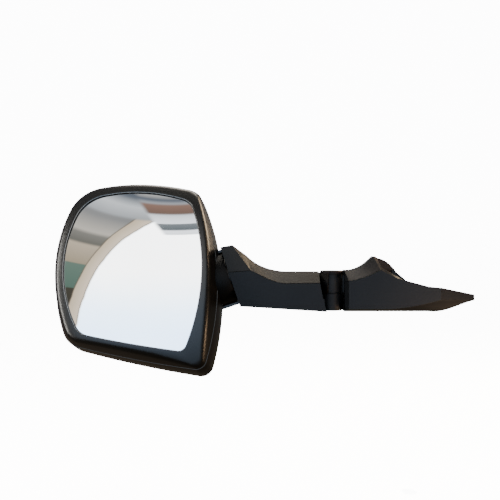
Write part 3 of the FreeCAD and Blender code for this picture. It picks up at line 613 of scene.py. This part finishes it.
# an uneven edge between the wall and the sky: 0 away from the sky's side, 1 at its middle
UNEVEN = 0.03
centred_noise = calculated("SUBTRACT", noise(world_tree, direction, 5.0, 3.0), 0.5)
unevenness = calculated("MULTIPLY", centred_noise, UNEVEN)
to_sky = calculated("MULTIPLY_ADD", calculated("ADD", turned_to(SKY_SIDE), unevenness), 0.5, 0.5)
band = scaled_colour(
    to_sky,
    (
        (0.00, (0.060, 0.060, 0.060)),
        (0.30, (0.030, 0.028, 0.026)),
        (0.60, (0.030, 0.030, 0.028)),
        (0.735, (0.030, 0.026, 0.020)),
        (0.738, (0.160, 0.130, 0.095)),
        (0.772, (0.210, 0.175, 0.135)),
        (0.774, (0.012, 0.011, 0.010)),
        (0.778, (1.0, 1.0, 1.0)),
    ),
    SKY_LIGHT,
)
walls = scaled_colour(
    split.outputs["Z"],
    (
        (0.139, (0.090, 0.076, 0.058)),
        (0.142, (0.011, 0.010, 0.008)),
        (0.298, (0.014, 0.013, 0.010)),
        (0.302, (0.022, 0.036, 0.029)),
        (0.462, (0.030, 0.044, 0.036)),
        (0.468, (0.085, 0.070, 0.050)),
        (0.585, (0.125, 0.105, 0.080)),
        (0.600, (0.034, 0.033, 0.029)),
        (0.650, (0.050, 0.048, 0.043)),
        (0.670, (0.130, 0.120, 0.105)),
        (0.760, (0.060, 0.060, 0.060)),
    ),
    SKY_LIGHT,
)
sky = scaled_colour(
    split.outputs["Z"],
    (
        (0.00, (0.55, 0.74, 1.00)),
        (0.15, (0.64, 0.80, 1.00)),
        (0.36, (0.90, 0.95, 1.00)),
        (0.45, (1.00, 1.00, 1.00)),
    ),
    SKY_LIGHT,
)
silver = scaled_colour(
    split.outputs["Z"],
    (
        (0.780, (0.090, 0.094, 0.098)),
        (0.840, (0.150, 0.156, 0.162)),
        (0.880, (0.030, 0.034, 0.040)),
        (0.900, (0.020, 0.024, 0.030)),
        (0.930, (0.22, 0.21, 0.19)),
    ),
    SKY_LIGHT,
)
roofs = scaled_colour(
    split.outputs["Z"],
    (
        (0.700, (0.30, 0.31, 0.33)),
        (0.728, (0.34, 0.35, 0.37)),
        (0.732, (0.030, 0.034, 0.038)),
        (0.766, (0.050, 0.056, 0.060)),
        (0.770, (0.30, 0.31, 0.33)),
        (0.812, (0.20, 0.21, 0.22)),
        (0.822, (0.040, 0.026, 0.021)),
        (0.862, (0.060, 0.036, 0.028)),
        (0.870, (0.085, 0.088, 0.094)),
        (0.885, (0.022, 0.026, 0.034)),
        (0.930, (0.22, 0.21, 0.19)),
    ),
    SKY_LIGHT,
)
GROUND_COLOURS = ((0.0, (0.60, 0.46, 0.33)), (1.0, (0.60, 0.50, 0.38)))
GROUND_LIGHT = 0.35
ground = scaled_colour(split.outputs["Z"], GROUND_COLOURS, GROUND_LIGHT)
DIM_COLOURS = ((0.0, (0.028, 0.024, 0.019)), (1.0, (0.060, 0.058, 0.054)))
dim = scaled_colour(split.outputs["Z"], DIM_COLOURS, SKY_LIGHT)

# where each of them shows, from the back to the front
LEFT_SIDE = (-0.848, -0.530, 0.0)
in_front = stepped(world_tree, calculated("MULTIPLY", split.outputs["Y"], -1.0), -0.1, 0.1)
past_the_walls = stepped(world_tree, to_sky, 0.730, 0.736)
past_the_band = stepped(world_tree, to_sky, 0.776, 0.779)
not_right = stepped(world_tree, turned_to(LEFT_SIDE), -0.12, 0.02)
open_sky = calculated("MULTIPLY", past_the_band, not_right)
overhead = stepped(world_tree, split.outputs["Z"], 0.770, 0.790)
slanted = calculated("MULTIPLY_ADD", split.outputs["Z"], 1.2, split.outputs["X"])
high_up = stepped(world_tree, split.outputs["Z"], 0.700, 0.706)
over_roofs = calculated("MULTIPLY", stepped(world_tree, slanted, 0.86, 0.91), high_up)
underfoot = stepped(world_tree, split.outputs["Z"], -0.10, -0.25)

seen = blended(past_the_walls, walls, band)
seen = blended(in_front, band, seen)
seen = blended(past_the_band, seen, dim)
seen = blended(open_sky, seen, sky)
seen = blended(overhead, seen, silver)
seen = blended(over_roofs, seen, roofs)
seen = blended(underfoot, seen, ground)
world_tree.links.new(seen, background.inputs["Color"])
background.inputs["Strength"].default_value = 1.0


# ---------------------------------------------------------------- lights and camera
def softbox(name, at, towards, size, power, colour):
    """An area light that the camera doesn't see."""
    data = bpy.data.lights.new(name, "AREA")
    data.shape = "RECTANGLE"
    data.size, data.size_y = size
    data.energy = power
    data.color = colour
    made = bpy.data.objects.new(name, data)
    bpy.context.scene.collection.objects.link(made)
    made.location = at
    made.visible_camera = False
    made.rotation_euler = (Vector(towards) - Vector(at)).to_track_quat("-Z", "Y").to_euler()


middle = (low + high) / 2
softbox("top_soft", (-0.15, 0.42, 1.15), middle, (0.9, 0.7), 32.0, (1.0, 0.93, 0.82))
softbox("left_strip", (-1.45, -0.56, 0.15), HEAD_ORIGIN, (0.2, 1.2), 42.0, (1.0, 0.97, 0.92))
softbox("right_warm", (0.75, 0.75, 0.65), middle, (0.5, 0.7), 26.0, (1.0, 0.76, 0.50))
softbox("peak_warm", (-0.02, -0.05, 0.14), (-0.035, 0.02, 0.03), (0.05, 0.05), 0.35, (1.0, 0.66, 0.40))
softbox("low_warm", (0.12, -0.12, -0.12), (0.065, 0.02, -0.02), (0.06, 0.06), 1.6, (1.0, 0.66, 0.40))

# the camera stands level, 0.8 m in front of the head
CAMERA_AT = (-0.2126, -0.828, 0.042)
LENS, SENSOR = 44.64, 36.0
camera_data = bpy.data.cameras.new("camera")
camera = bpy.data.objects.new("camera", camera_data)
bpy.context.scene.collection.objects.link(camera)
bpy.context.scene.camera = camera
camera.location = CAMERA_AT
camera.rotation_euler = (math.radians(90.0), 0.0, 0.0)
camera_data.lens = LENS
camera_data.sensor_width = SENSOR
camera_data.clip_start = 0.02
